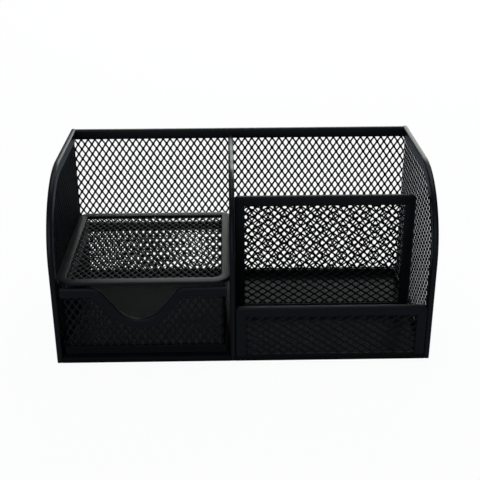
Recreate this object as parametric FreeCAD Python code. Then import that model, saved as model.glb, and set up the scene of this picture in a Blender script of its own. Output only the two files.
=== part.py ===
import FreeCAD
import Part
import math
import os
from FreeCAD import Vector

# A desk organiser of expanded steel mesh: an outer shell of two side panels and a rear
# panel round a sheet-steel floor, split by an upright divider. The left half has a
# flat mesh shelf over a drawer, and the right half has a tall rear bay and an open front
# bay behind a low panel. Every mesh edge is gripped in a folded steel rim.
# Frame: origin at the middle of the footprint on the desk, +X right, +Y to the rear,
# +Z up. Millimetres.

# --- Driving dimensions -----------------------------------------------------------------

# Outer shell.
WIDTH = 206.0
DEPTH = 103.5
HEIGHT = 102.5
SHOULDER_RADIUS = 45.0  # quarter round between the flat top and the front edge of a side

# Folded rims and the sheets that they grip.
MESH_THICKNESS = 1.0
RIM_THICKNESS = 3.0
RIM_WIDTH = 6.0
RIM_FOLD = 0.8  # metal left outside the mesh, at the closed edge of a rim
RIM_EDGE_BEVEL = 0.6
SILL_HEIGHT = 6.5
MITRE_GAP = 0.3
MITRE_DEPTH = 0.3
MITRE_START = 2.0  # from the corner's tip, clear of its rounding

# Diamond openings, wider apart than a needle-fine mesh but of the same proportions.
CELL_SHORT = 18.0
CELL_LONG = 26.6
STRAND = 1.8
BARE_MARGIN = 1.0  # solid metal between a rim and the first opening
SMALLEST_OPENING = 9.0  # square millimetres, below which a cut cell stays closed

# Floor plate.
SHEET = 0.8
FLOOR_TOP = 3.0

# Centre divider, between the left and right halves.
DIVIDER_X = -5.7
DIVIDER_DROP = 3.5  # how far its top lies below the top of the shell

# Middle divider of the right half, and the low front panel.
MIDDLE_FROM_FRONT = 50.5
MIDDLE_TOP = 78.0
FRONT_PANEL_TOP = 33.0
FRONT_RIM_WIDTH = 5.5
CORNER_RADIUS = 2.0

# Flat shelf over the drawer.
SHELF_TOP = 48.7
SHELF_RIM_WIDTH = 5.0
SHELF_RIM_THICKNESS = 2.0
SHELF_CORNER_RADIUS = 10.0
SHELF_FRONT_SETBACK = 1.1
SHELF_REAR_GAP = 2.0
SEAM_DEPTH = 0.3

# Drawer.
DRAWER_SIDE_GAP = 2.0
DRAWER_REAR_GAP = 4.0
DRAWER_FLOAT = 0.3  # under its runners
DRAWER_HEADROOM = 1.1  # between its front and the shelf
DRAWER_WALL_DROP = 1.9  # how far its other walls lie below its front
DRAWER_LIFT = 2.0  # height of the pressed runners under its pan
DRAWER_LIP_HEIGHT = 5.0
DRAWER_RIM_WIDTH = 5.3
RUNNER_WIDTH = 5.0
RUNNER_INSET = 12.0

# Wave-shaped finger notch in the drawer front.
WAVE_DEPTH = 19.0
WAVE_OFFSET = -2.5  # from the middle of the drawer
WAVE_BOTTOM_RADIUS = 14.5
WAVE_SHOULDER_RADIUS = 8.0
WAVE_FLANK_ANGLE = 52.0

# --- Places worked out from them --------------------------------------------------------

FRONT = -DEPTH / 2
REAR = DEPTH / 2
RIGHT = WIDTH / 2
LEFT = -WIDTH / 2
INNER_RIGHT = RIGHT - RIM_THICKNESS
INNER_LEFT = LEFT + RIM_THICKNESS
INNER_REAR = REAR - RIM_THICKNESS
HALF_RIM = RIM_THICKNESS / 2
HALF_MESH = MESH_THICKNESS / 2

DIVIDER_TOP = HEIGHT - DIVIDER_DROP
DIVIDER_RIGHT_FACE = DIVIDER_X + HALF_RIM
DIVIDER_LEFT_FACE = DIVIDER_X - HALF_RIM
MIDDLE_Y = FRONT + MIDDLE_FROM_FRONT

PAN_LEFT = INNER_LEFT + DRAWER_SIDE_GAP
PAN_RIGHT = DIVIDER_LEFT_FACE - DRAWER_SIDE_GAP
PAN_REAR = INNER_REAR - DRAWER_REAR_GAP
PAN_BOTTOM = FLOOR_TOP + DRAWER_FLOAT + DRAWER_LIFT
PAN_LIP_TOP = PAN_BOTTOM + DRAWER_LIP_HEIGHT
DRAWER_FRONT_TOP = SHELF_TOP - SHELF_RIM_THICKNESS - DRAWER_HEADROOM
DRAWER_WALL_TOP = DRAWER_FRONT_TOP - DRAWER_WALL_DROP
SLOT_BOTTOM = PAN_BOTTOM + SHEET

REACH = WIDTH + DEPTH + HEIGHT  # longer than anything, for cutting shapes
JOIN = 1e-6  # points closer than this count as one
SPARE_CELLS = 2  # beyond a border, so that a grid covers all of it


# --- Flat outlines, drawn in a plane as (u, v) ------------------------------------------


def polygon(points):
    """Face bounded by straight lines through (u, v) points."""
    corners = [Vector(u, v, 0) for u, v in points]
    return Part.Face(Part.makePolygon(corners + corners[:1]))


def rectangle(left, right, bottom, top):
    """Upright rectangular face."""
    return polygon([(left, bottom), (right, bottom), (right, top), (left, top)])


def arc(centre, radius, start, end):
    """Arc edge about a (u, v) centre, between two angles in degrees."""
    circle = Part.Circle(Vector(centre[0], centre[1], 0), Vector(0, 0, 1), radius)
    return Part.Arc(circle, math.radians(start), math.radians(end)).toShape()


def face_through(pieces):
    """Face bounded by arcs and the straight lines that join them, in order.

    A piece is an edge or a (u, v) corner. Edges keep the sense they're drawn in or are
    turned round, as the chain needs.
    """
    chain = []
    first = None
    last = None
    for piece in pieces:
        if isinstance(piece, tuple):
            start = Vector(piece[0], piece[1], 0)
            end = start
            edge = None
        else:
            start = piece.Vertexes[0].Point
            end = piece.Vertexes[-1].Point
            if last is not None and end.distanceToPoint(last) < start.distanceToPoint(last):
                start, end = end, start
            edge = piece
        if last is None:
            first = start
        elif start.distanceToPoint(last) > JOIN:
            chain.append(Part.makeLine(last, start))
        if edge is not None:
            chain.append(edge)
        last = end
    if last.distanceToPoint(first) > JOIN:
        chain.append(Part.makeLine(last, first))
    return Part.Face(Part.Wire(Part.__sortEdges__(chain)))


def shoulder_outline(front, rear, bottom, top, radius):
    """Side-on outline: a flat top that rounds over into an upright front edge."""
    shoulder = arc((front + radius, top - radius), radius, 90, 180)
    return face_through([(rear, bottom), (rear, top), shoulder, (front, bottom)])


def rounded_rectangle(left, right, bottom, top, radius, all_corners=True):
    """Rectangle with round top corners, and round lower ones unless told otherwise."""
    pieces = []
    if all_corners:
        pieces.append(arc((left + radius, bottom + radius), radius, 180, 270))
        pieces.append(arc((right - radius, bottom + radius), radius, 270, 360))
    else:
        pieces.append((left, bottom))
        pieces.append((right, bottom))
    pieces.append(arc((right - radius, top - radius), radius, 0, 90))
    pieces.append(arc((left + radius, top - radius), radius, 90, 180))
    return face_through(pieces)


def edges_but(outline, rear, bottom):
    """Edges of a side-on outline other than its straight rear and bottom ones."""
    return Part.makeCompound([
        edge for edge in outline.OuterWire.Edges
        if edge.CenterOfMass.x < rear - JOIN and edge.CenterOfMass.y > bottom + JOIN
    ])


def edges_above(outline, level):
    """Edges of an outline that lie wholly above a level."""
    return Part.makeCompound([
        edge for edge in outline.OuterWire.Edges if edge.BoundBox.YMin > level
    ])


def wave_half_width():
    """From the middle of the notch to where the drawer front is level again."""
    angle = math.radians(WAVE_FLANK_ANGLE)
    radii = WAVE_BOTTOM_RADIUS + WAVE_SHOULDER_RADIUS
    straight_drop = WAVE_DEPTH - radii * (1 - math.cos(angle))
    return radii * math.sin(angle) + straight_drop / math.tan(angle)


def wave_outline(left, right, bottom, inset):
    """Drawer-front outline with the wave notch, drawn inset from its top edge."""
    middle = (PAN_LEFT + PAN_RIGHT) / 2 + WAVE_OFFSET
    reach = wave_half_width()
    top = DRAWER_FRONT_TOP - inset
    dip_centre = (middle, DRAWER_FRONT_TOP - WAVE_DEPTH + WAVE_BOTTOM_RADIUS)
    dip_radius = WAVE_BOTTOM_RADIUS + inset
    shoulder_level = DRAWER_FRONT_TOP - WAVE_SHOULDER_RADIUS
    shoulder_radius = WAVE_SHOULDER_RADIUS - inset
    flank = WAVE_FLANK_ANGLE
    return face_through([
        (left, bottom),
        (left, top),
        arc((middle - reach, shoulder_level), shoulder_radius, 90 - flank, 90),
        arc(dip_centre, dip_radius, 270 - flank, 270 + flank),
        arc((middle + reach, shoulder_level), shoulder_radius, 90, 90 + flank),
        (right, top),
        (right, bottom),
    ])


# --- Sheets, rims and where they stand --------------------------------------------------


def slab(face, thickness):
    """Flat face made into a sheet that is centred on its own plane."""
    solid = face.extrude(Vector(0, 0, thickness))
    solid.translate(Vector(0, 0, -thickness / 2))
    return solid


def diamonds_over(bounds, cell_u, cell_v):
    """Openings of an expanded-metal grid that cover a bounding box."""
    half_u = cell_u / 2
    half_v = cell_v / 2
    to_strand = half_u * half_v / math.hypot(half_u, half_v)
    open_share = 1 - STRAND / 2 / to_strand
    u_reach = half_u * open_share
    v_reach = half_v * open_share
    columns = int(bounds.XLength / cell_u / 2) + SPARE_CELLS
    rows = int(bounds.YLength / half_v / 2) + SPARE_CELLS
    openings = []
    for row in range(-rows, rows + 1):
        for column in range(-columns, columns + 1):
            u = bounds.Center.x + (column + (row % 2) / 2) * cell_u
            v = bounds.Center.y + row * half_v
            openings.append(polygon([
                (u - u_reach, v),
                (u, v - v_reach),
                (u + u_reach, v),
                (u, v + v_reach),
            ]))
    return openings


def mesh_sheet(sheet_face, open_face, long_way_up=True):
    """Mesh sheet: diamonds over the open face, each cut off at its border."""
    cell = (CELL_SHORT, CELL_LONG) if long_way_up else (CELL_LONG, CELL_SHORT)
    openings = diamonds_over(open_face.BoundBox, *cell)
    trimmed = Part.makeCompound(openings).common(open_face)
    kept = [face for face in trimmed.Faces if face.Area > SMALLEST_OPENING]
    return slab(sheet_face.cut(Part.makeCompound(kept)).Faces[0], MESH_THICKNESS)


def roll_edges(solid, outline, half_thickness):
    """Ease the edges where a rim's folded outer edge meets its two faces."""
    rolled = []
    for edge in solid.Edges:
        middle = edge.valueAt((edge.FirstParameter + edge.LastParameter) / 2)
        on_face = abs(abs(middle.z) - half_thickness) < JOIN
        flat_place = Part.Vertex(middle.x, middle.y, 0)
        if on_face and outline.distToShape(flat_place)[0] < JOIN:
            rolled.append(edge)
    return solid.makeChamfer(RIM_EDGE_BEVEL, rolled)


def folded_rim(outer_face, inner_face, slot_face, rolled_edge, thickness=RIM_THICKNESS):
    """Steel strip folded over a mesh edge, with the slot that holds the mesh."""
    strip = slab(outer_face.cut(inner_face).Faces[0], thickness)
    strip = roll_edges(strip, rolled_edge, thickness / 2)
    return strip.cut(slab(slot_face, MESH_THICKNESS))


def mitre(corner_u, corner_v, direction, width):
    """Pair of fine grooves across a rim corner, one in each face."""
    length = width * math.sqrt(2) - MITRE_START + MITRE_GAP
    grooves = []
    for side in (-1, 1):
        level = side * (HALF_RIM - MITRE_DEPTH / 2) - MITRE_DEPTH / 2
        start = Vector(MITRE_START, -MITRE_GAP / 2, level)
        groove = Part.makeBox(length, MITRE_GAP, MITRE_DEPTH, start)
        groove.rotate(Vector(0, 0, 0), Vector(0, 0, 1), direction)
        groove.translate(Vector(corner_u, corner_v, 0))
        grooves.append(groove)
    return grooves


def across(shape, y):
    """Stand a flat shape up across the organiser: u is X and v is Z."""
    placed = shape.copy()
    placed.rotate(Vector(0, 0, 0), Vector(1, 0, 0), 90)
    placed.translate(Vector(0, y, 0))
    return placed


def fore_and_aft(shape, x):
    """Stand a flat shape up from front to rear: u is Y and v is Z."""
    placed = across(shape, 0)
    placed.rotate(Vector(0, 0, 0), Vector(0, 0, 1), 90)
    placed.translate(Vector(x, 0, 0))
    return placed


def block(x_range, y_range, z_range):
    """Box between three pairs of limits."""
    sizes = [end - start for start, end in (x_range, y_range, z_range)]
    return Part.makeBox(*sizes, Vector(x_range[0], y_range[0], z_range[0]))


# --- Outer shell ------------------------------------------------------------------------


def side_panel(x_middle, inward):
    """Rim, sill and mesh of one side. Inward is +1 on the left and -1 on the right."""
    outer = shoulder_outline(FRONT, REAR, 0, HEIGHT, SHOULDER_RADIUS)
    under_rim = shoulder_outline(
        FRONT + RIM_WIDTH, REAR + REACH, -REACH, HEIGHT - RIM_WIDTH, SHOULDER_RADIUS - RIM_WIDTH
    )
    slot = shoulder_outline(
        FRONT + RIM_FOLD, REAR + REACH, RIM_FOLD, HEIGHT - RIM_FOLD, SHOULDER_RADIUS - RIM_FOLD
    )
    rim = folded_rim(outer, under_rim, slot, edges_but(outer, REAR, 0))

    sill_face = rectangle(FRONT + RIM_WIDTH, REAR, 0, SILL_HEIGHT)
    sill = slab(sill_face, RIM_THICKNESS).cut(slab(slot, MESH_THICKNESS))

    mesh_rear = REAR - HALF_RIM + HALF_MESH
    sheet = shoulder_outline(
        FRONT + RIM_FOLD, mesh_rear, RIM_FOLD, HEIGHT - RIM_FOLD, SHOULDER_RADIUS - RIM_FOLD
    )
    inset = RIM_WIDTH + BARE_MARGIN
    opened = shoulder_outline(
        FRONT + inset,
        INNER_REAR - BARE_MARGIN,
        SILL_HEIGHT + BARE_MARGIN,
        HEIGHT - inset,
        SHOULDER_RADIUS - inset,
    )
    mesh = fore_and_aft(mesh_sheet(sheet, opened), x_middle)
    bend_start = x_middle + inward * HALF_MESH
    bend_end = x_middle + inward * HALF_RIM
    bend = block(
        (min(bend_start, bend_end), max(bend_start, bend_end)),
        (mesh_rear - MESH_THICKNESS, mesh_rear),
        (SILL_HEIGHT, HEIGHT - RIM_WIDTH),
    )
    return {
        "rim": fore_and_aft(rim, x_middle),
        "sill": fore_and_aft(sill, x_middle),
        "mesh": mesh.fuse(bend).removeSplitter(),
    }


def rear_panel():
    """Top rim, sill and mesh across the rear, between the side panels."""
    slot = rectangle(-REACH, REACH, RIM_FOLD, HEIGHT - RIM_FOLD)
    rim_face = rectangle(INNER_LEFT, INNER_RIGHT, HEIGHT - RIM_WIDTH, HEIGHT)
    top_edge = Part.makeLine(Vector(INNER_LEFT, HEIGHT, 0), Vector(INNER_RIGHT, HEIGHT, 0))
    rim = roll_edges(slab(rim_face, RIM_THICKNESS), top_edge, HALF_RIM)
    sill = slab(rectangle(INNER_LEFT, INNER_RIGHT, 0, SILL_HEIGHT), RIM_THICKNESS)
    sheet = rectangle(INNER_LEFT, INNER_RIGHT, RIM_FOLD, HEIGHT - RIM_FOLD)
    opened = rectangle(
        INNER_LEFT + BARE_MARGIN,
        INNER_RIGHT - BARE_MARGIN,
        SILL_HEIGHT + BARE_MARGIN,
        HEIGHT - RIM_WIDTH - BARE_MARGIN,
    )
    y = REAR - HALF_RIM
    slot_solid = slab(slot, MESH_THICKNESS)
    return {
        "rim": across(rim.cut(slot_solid), y),
        "sill": across(sill.cut(slot_solid), y),
        "mesh": across(mesh_sheet(sheet, opened), y),
    }


def floor_plate():
    """Sheet-steel floor with its edges folded down to the desk."""
    plate = block((INNER_LEFT, INNER_RIGHT), (FRONT, INNER_REAR), (0, FLOOR_TOP))
    hollow = block(
        (INNER_LEFT + SHEET, INNER_RIGHT - SHEET),
        (FRONT + SHEET, INNER_REAR - SHEET),
        (0, FLOOR_TOP - SHEET),
    )
    notch = block(
        (DIVIDER_LEFT_FACE, DIVIDER_RIGHT_FACE), (FRONT, FRONT + RIM_WIDTH), (0, FLOOR_TOP)
    )
    return plate.cut(hollow).cut(notch)


# --- Dividers and front panel -----------------------------------------------------------


def centre_divider():
    """Upright panel from front to rear, cut to the shell's shoulder line."""
    radius = SHOULDER_RADIUS - DIVIDER_DROP
    outer = shoulder_outline(FRONT, INNER_REAR, FLOOR_TOP, DIVIDER_TOP, radius)

    def inset_by(inset):
        return shoulder_outline(
            FRONT + inset, INNER_REAR - inset, FLOOR_TOP + inset, DIVIDER_TOP - inset,
            radius - inset,
        )

    rolled = edges_but(outer, INNER_REAR, FLOOR_TOP)
    rim = folded_rim(outer, inset_by(RIM_WIDTH), inset_by(RIM_FOLD), rolled)
    foot = slab(rectangle(FRONT, FRONT + RIM_WIDTH, 0, FLOOR_TOP), RIM_THICKNESS)
    mesh = mesh_sheet(inset_by(RIM_FOLD), inset_by(RIM_WIDTH + BARE_MARGIN))
    return {
        "rim": fore_and_aft(rim.fuse(foot), DIVIDER_X),
        "mesh": fore_and_aft(mesh, DIVIDER_X),
    }


def framed_panel(top, rim_width, y):
    """Right-half panel in a closed rim with mitred corners, its mesh laid long way across."""
    left = DIVIDER_RIGHT_FACE
    right = INNER_RIGHT
    bottom = FLOOR_TOP
    outer = rounded_rectangle(left, right, bottom, top, CORNER_RADIUS, all_corners=False)

    def inset_by(inset):
        return rectangle(left + inset, right - inset, bottom + inset, top - inset)

    top_edges = edges_above(outer, bottom + JOIN)
    slot_face = rounded_rectangle(
        left + RIM_FOLD, right - RIM_FOLD, bottom + RIM_FOLD, top - RIM_FOLD,
        CORNER_RADIUS - RIM_FOLD, all_corners=False,
    )
    rim = folded_rim(outer, inset_by(rim_width), slot_face, top_edges)
    for corner_u, corner_v, direction in (
        (left, bottom, 45),
        (right, bottom, 135),
        (right, top, 225),
        (left, top, 315),
    ):
        for groove in mitre(corner_u, corner_v, direction, rim_width):
            rim = rim.cut(groove)
    mesh = mesh_sheet(slot_face, inset_by(rim_width + BARE_MARGIN), long_way_up=False)
    return {"rim": across(rim, y), "mesh": across(mesh, y)}


# --- Shelf ------------------------------------------------------------------------------


def shelf():
    """Flat mesh shelf in a rim with round corners, seated on the mesh at either side."""
    left = LEFT + HALF_RIM + HALF_MESH
    right = DIVIDER_X - HALF_MESH
    front = FRONT + SHELF_FRONT_SETBACK
    rear = INNER_REAR - SHELF_REAR_GAP

    def inset_by(inset):
        return rounded_rectangle(
            left + inset, right - inset, front + inset, rear - inset, SHELF_CORNER_RADIUS - inset
        )

    outer = inset_by(0)
    slot_face = inset_by(RIM_FOLD)
    rim = folded_rim(
        outer, inset_by(SHELF_RIM_WIDTH), slot_face, outer.OuterWire, SHELF_RIM_THICKNESS
    )
    mesh = mesh_sheet(slot_face, inset_by(SHELF_RIM_WIDTH + BARE_MARGIN))
    seam_x = (left + right) / 2
    seam_bottom = SHELF_RIM_THICKNESS / 2 - SEAM_DEPTH
    seam = block(
        (seam_x - MITRE_GAP / 2, seam_x + MITRE_GAP / 2),
        (rear - SHELF_RIM_WIDTH, rear),
        (seam_bottom, seam_bottom + SEAM_DEPTH),
    )
    rim = rim.cut(seam)
    for shape in (rim, mesh):
        shape.translate(Vector(0, 0, SHELF_TOP - SHELF_RIM_THICKNESS / 2))
    return {"rim": rim, "mesh": mesh}


# --- Drawer -----------------------------------------------------------------------------


def drawer_pan():
    """Sheet pan with a folded lip that grips the walls, on two pressed runners."""

    def inset_by(inset):
        return rectangle(
            PAN_LEFT + inset, PAN_RIGHT - inset, FRONT + inset, PAN_REAR - inset
        )

    height = PAN_LIP_TOP - PAN_BOTTOM
    body = inset_by(0).extrude(Vector(0, 0, height))
    body.translate(Vector(0, 0, PAN_BOTTOM))
    well = inset_by(RIM_THICKNESS).extrude(Vector(0, 0, height))
    well.translate(Vector(0, 0, SLOT_BOTTOM))
    skin = HALF_RIM - HALF_MESH
    slot_face = inset_by(skin).cut(inset_by(skin + MESH_THICKNESS)).Faces[0]
    slot = slot_face.extrude(Vector(0, 0, height))
    slot.translate(Vector(0, 0, SLOT_BOTTOM))
    pan = body.cut([well, slot])
    for runner_left in (PAN_LEFT + RUNNER_INSET, PAN_RIGHT - RUNNER_INSET - RUNNER_WIDTH):
        runner = block(
            (runner_left, runner_left + RUNNER_WIDTH),
            (FRONT + RUNNER_INSET, PAN_REAR - RUNNER_INSET),
            (PAN_BOTTOM - DRAWER_LIFT, SLOT_BOTTOM),
        )
        hollow = block(
            (runner_left + SHEET, runner_left + RUNNER_WIDTH - SHEET),
            (FRONT + RUNNER_INSET + SHEET, PAN_REAR - RUNNER_INSET - SHEET),
            (PAN_BOTTOM - DRAWER_LIFT + SHEET, SLOT_BOTTOM),
        )
        pan = pan.fuse(runner).cut(hollow)
    return pan.removeSplitter()


def drawer_front():
    """Wave-cut drawer front: folded top rim and the mesh below it."""
    outer = wave_outline(PAN_LEFT, PAN_RIGHT, PAN_LIP_TOP, 0)
    below = wave_outline(PAN_LEFT - REACH, PAN_RIGHT + REACH, -REACH, DRAWER_RIM_WIDTH)
    slot = wave_outline(PAN_LEFT - REACH, PAN_RIGHT + REACH, -REACH, RIM_FOLD)
    rim = folded_rim(outer, below, slot, edges_above(outer, PAN_LIP_TOP + JOIN))
    mesh_left = PAN_LEFT + HALF_RIM + HALF_MESH
    mesh_right = PAN_RIGHT - HALF_RIM - HALF_MESH
    sheet = wave_outline(mesh_left, mesh_right, SLOT_BOTTOM, RIM_FOLD)
    opened = wave_outline(
        mesh_left + BARE_MARGIN, mesh_right - BARE_MARGIN, PAN_LIP_TOP + BARE_MARGIN,
        DRAWER_RIM_WIDTH + BARE_MARGIN,
    )
    y = FRONT + HALF_RIM
    return {"rim": across(rim, y), "mesh": across(mesh_sheet(sheet, opened), y)}


def drawer_wall(start, end, mesh_start, mesh_end):
    """Plain drawer wall, drawn flat along u: top rim and mesh.

    Below the rim the mesh runs on to the walls that it meets at the corners.
    """
    rim_bottom = DRAWER_WALL_TOP - DRAWER_RIM_WIDTH
    rim_face = rectangle(start, end, rim_bottom, DRAWER_WALL_TOP)
    top_edge = Part.makeLine(Vector(start, DRAWER_WALL_TOP, 0), Vector(end, DRAWER_WALL_TOP, 0))
    rim = roll_edges(slab(rim_face, RIM_THICKNESS), top_edge, HALF_RIM)
    slot = rectangle(-REACH, REACH, -REACH, DRAWER_WALL_TOP - RIM_FOLD)
    in_rim = rectangle(
        max(start, mesh_start), min(end, mesh_end), SLOT_BOTTOM, DRAWER_WALL_TOP - RIM_FOLD
    )
    below_rim = rectangle(mesh_start, mesh_end, SLOT_BOTTOM, rim_bottom)
    sheet = in_rim.fuse(below_rim).removeSplitter().Faces[0]
    opened = rectangle(
        start + BARE_MARGIN,
        end - BARE_MARGIN,
        PAN_LIP_TOP + BARE_MARGIN,
        rim_bottom - BARE_MARGIN,
    )
    return {
        "rim": rim.cut(slab(slot, MESH_THICKNESS)),
        "mesh": mesh_sheet(sheet, opened.common(sheet).Faces[0]),
    }


def drawer_sides():
    """Left and right drawer walls, from the front rim to the rear wall."""
    wall = drawer_wall(
        FRONT + RIM_THICKNESS,
        PAN_REAR - RIM_THICKNESS,
        FRONT + HALF_RIM + HALF_MESH,
        PAN_REAR - HALF_RIM - HALF_MESH,
    )
    places = {"left": PAN_LEFT + HALF_RIM, "right": PAN_RIGHT - HALF_RIM}
    return {
        side: {kind: fore_and_aft(shape, x) for kind, shape in wall.items()}
        for side, x in places.items()
    }


def drawer_rear():
    """Rear drawer wall, as wide as the pan."""
    skin = HALF_RIM - HALF_MESH
    wall = drawer_wall(PAN_LEFT, PAN_RIGHT, PAN_LEFT + skin, PAN_RIGHT - skin)
    return {kind: across(shape, PAN_REAR - HALF_RIM) for kind, shape in wall.items()}


# --- All nodes --------------------------------------------------------------------------


def build():
    """Name every piece of the organiser."""
    nodes = {"floor_plate": floor_plate()}
    panels = {
        "left_side": side_panel(LEFT + HALF_RIM, 1),
        "right_side": side_panel(RIGHT - HALF_RIM, -1),
        "rear": rear_panel(),
        "centre_divider": centre_divider(),
        "middle_divider": framed_panel(MIDDLE_TOP, RIM_WIDTH, MIDDLE_Y),
        "front_panel": framed_panel(FRONT_PANEL_TOP, FRONT_RIM_WIDTH, FRONT + HALF_RIM),
        "shelf": shelf(),
        "drawer_front": drawer_front(),
        "drawer_rear": drawer_rear(),
    }
    for side, wall in drawer_sides().items():
        panels["drawer_" + side] = wall
    for name, pieces in panels.items():
        for kind, shape in pieces.items():
            nodes[name + "_" + kind] = shape
    nodes["drawer_pan"] = drawer_pan()
    return nodes


def main():
    """Write one STEP file per piece."""
    os.makedirs("parts", exist_ok=True)
    for name, shape in build().items():
        shape.exportStep("parts/" + name + ".step")


main()
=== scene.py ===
import logging
import math
from abc import ABC, abstractmethod
from collections.abc import Callable
from dataclasses import dataclass
from enum import Enum
from functools import cache, partial

import bpy
import numpy as np
from mathutils import Matrix, Vector


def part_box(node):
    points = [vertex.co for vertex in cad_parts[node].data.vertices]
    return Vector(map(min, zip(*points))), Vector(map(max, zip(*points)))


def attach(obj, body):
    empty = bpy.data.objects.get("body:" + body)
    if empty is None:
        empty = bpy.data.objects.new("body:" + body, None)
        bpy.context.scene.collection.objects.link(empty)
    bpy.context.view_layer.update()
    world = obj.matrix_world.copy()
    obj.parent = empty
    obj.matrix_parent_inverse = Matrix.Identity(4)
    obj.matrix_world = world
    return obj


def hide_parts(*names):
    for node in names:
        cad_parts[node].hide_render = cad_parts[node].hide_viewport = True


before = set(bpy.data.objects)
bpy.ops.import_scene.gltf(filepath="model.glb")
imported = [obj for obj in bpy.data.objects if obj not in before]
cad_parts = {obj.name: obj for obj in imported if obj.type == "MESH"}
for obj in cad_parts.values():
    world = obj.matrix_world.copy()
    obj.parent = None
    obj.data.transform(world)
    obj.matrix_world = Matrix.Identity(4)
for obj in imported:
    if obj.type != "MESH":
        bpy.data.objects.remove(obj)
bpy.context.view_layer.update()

# A desk caddy of expanded steel mesh: an outer shell wrapped round the rear corners, a
# centre divider, a mesh shelf over a drawer on the left, and two open bays on the right.
# Every mesh edge is gripped in a folded steel hem, and everything wears satin black
# powder coat. Metres, +Z up, +Y to the rear, with the same frame as the caddy's solids.

LOG = logging.getLogger("mesh_caddy")
MM = 0.001
TINY = 1e-9
FIXED_BODY = "caddy"
DRAWER_BODY = "drawer"
COOL = (0.68, 0.82, 1.0)  # daylight, which gives the black its slight blue
WARM = (0.96, 1.0, 0.93)  # lamp light behind the caddy, on its upper edges
WHITE = (1.0, 1.0, 1.0)

Place = tuple[float, float]
Colour = tuple[float, float, float]
Layout = Callable[[np.ndarray, np.ndarray, np.ndarray], np.ndarray]
Socket = bpy.types.NodeSocket


# --- Choices ---


class Facing(Enum):
    """How a panel's own plane stands in the caddy; u and v are its flat directions."""

    ACROSS = "u to the right, v up, front side forward"
    FORE_AND_AFT = "u to the rear, v up, front side to the right"
    FLAT = "u to the right, v to the rear, front side up"

    @staticmethod
    def of(side: str) -> "Facing":
        """How a side stands: the front and the rear across, the others fore and aft."""
        return Facing.ACROSS if side in ("front", "rear") else Facing.FORE_AND_AFT


class EndShape(Enum):
    """How the end of a hem is cut."""

    SQUARE = "square"
    MITRE = "mitre"


class PaintSlot(Enum):
    """Paint slots of the caddy's coats."""

    MESH = "mesh_paint"
    RIM = "rim_paint"
    SHEET = "sheet_paint"


# --- Flat and curved geometry ---


@dataclass(frozen=True)
class Plane:
    """Middle plane of a panel. Its axes u, v and w are right-handed, and w is its front."""

    facing: Facing
    level: float

    def stand(self, u: np.ndarray, v: np.ndarray, w: np.ndarray) -> np.ndarray:
        """Stand flat points up in the caddy.

        Args:
            u: first flat coordinate.
            v: second flat coordinate.
            w: height over the plane.

        Returns:
            Points, with x, y and z in the last axis.
        """
        u, v, w = np.broadcast_arrays(u, v, w)
        if self.facing is Facing.ACROSS:
            return np.stack((u, self.level - w, v), axis=-1)
        if self.facing is Facing.FORE_AND_AFT:
            return np.stack((self.level + w, u, v), axis=-1)
        return np.stack((u, v, self.level + w), axis=-1)


@dataclass(frozen=True)
class Extent:
    """Box round one solid of the caddy."""

    left: float
    right: float
    front: float
    rear: float
    bottom: float
    top: float

    @staticmethod
    def of(node: str) -> "Extent":
        """Box of a solid at rest, by the solid's name."""
        low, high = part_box(node)
        return Extent(low.x, high.x, low.y, high.y, low.z, high.z)

    def plane(self, facing: Facing) -> Plane:
        """Middle plane of a panel that fills the box.

        Args:
            facing: how the panel stands.

        Returns:
            The plane.
        """
        through = {Facing.ACROSS: (self.front, self.rear),
                   Facing.FORE_AND_AFT: (self.left, self.right),
                   Facing.FLAT: (self.bottom, self.top)}
        return Plane(facing, sum(through[facing]) / 2)

    def span(self, facing: Facing) -> Place:
        """Where a panel that stands in the box starts and ends along u."""
        across = facing is not Facing.FORE_AND_AFT
        return (self.left, self.right) if across else (self.front, self.rear)


def arc_points(centre: Place, radius: float, start: float, end: float,
               steps: int) -> np.ndarray:
    """Points on a circle: centre + radius * (cos a, sin a), a from start to end in degrees.

    Args:
        centre: middle of the circle.
        radius: its radius.
        start: first angle.
        end: last angle.
        steps: number of equal steps.

    Returns:
        Points, one more than the steps.
    """
    angle = np.radians(np.linspace(start, end, steps + 1))
    return np.asarray(centre) + radius * np.stack((np.cos(angle), np.sin(angle)), axis=-1)


def unit(runs: np.ndarray) -> np.ndarray:
    """The same directions, each with a length of 1."""
    return runs / np.linalg.norm(runs, axis=-1, keepdims=True)


def right_of(headings: np.ndarray) -> np.ndarray:
    """Directions a quarter turn to the right of the given ones: (u, v) becomes (v, -u)."""
    return headings[..., ::-1] * (1.0, -1.0)


def step_lengths(line: np.ndarray) -> np.ndarray:
    """Distance from each point of a line to the next."""
    return np.linalg.norm(np.diff(line, axis=0), axis=1)


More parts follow.
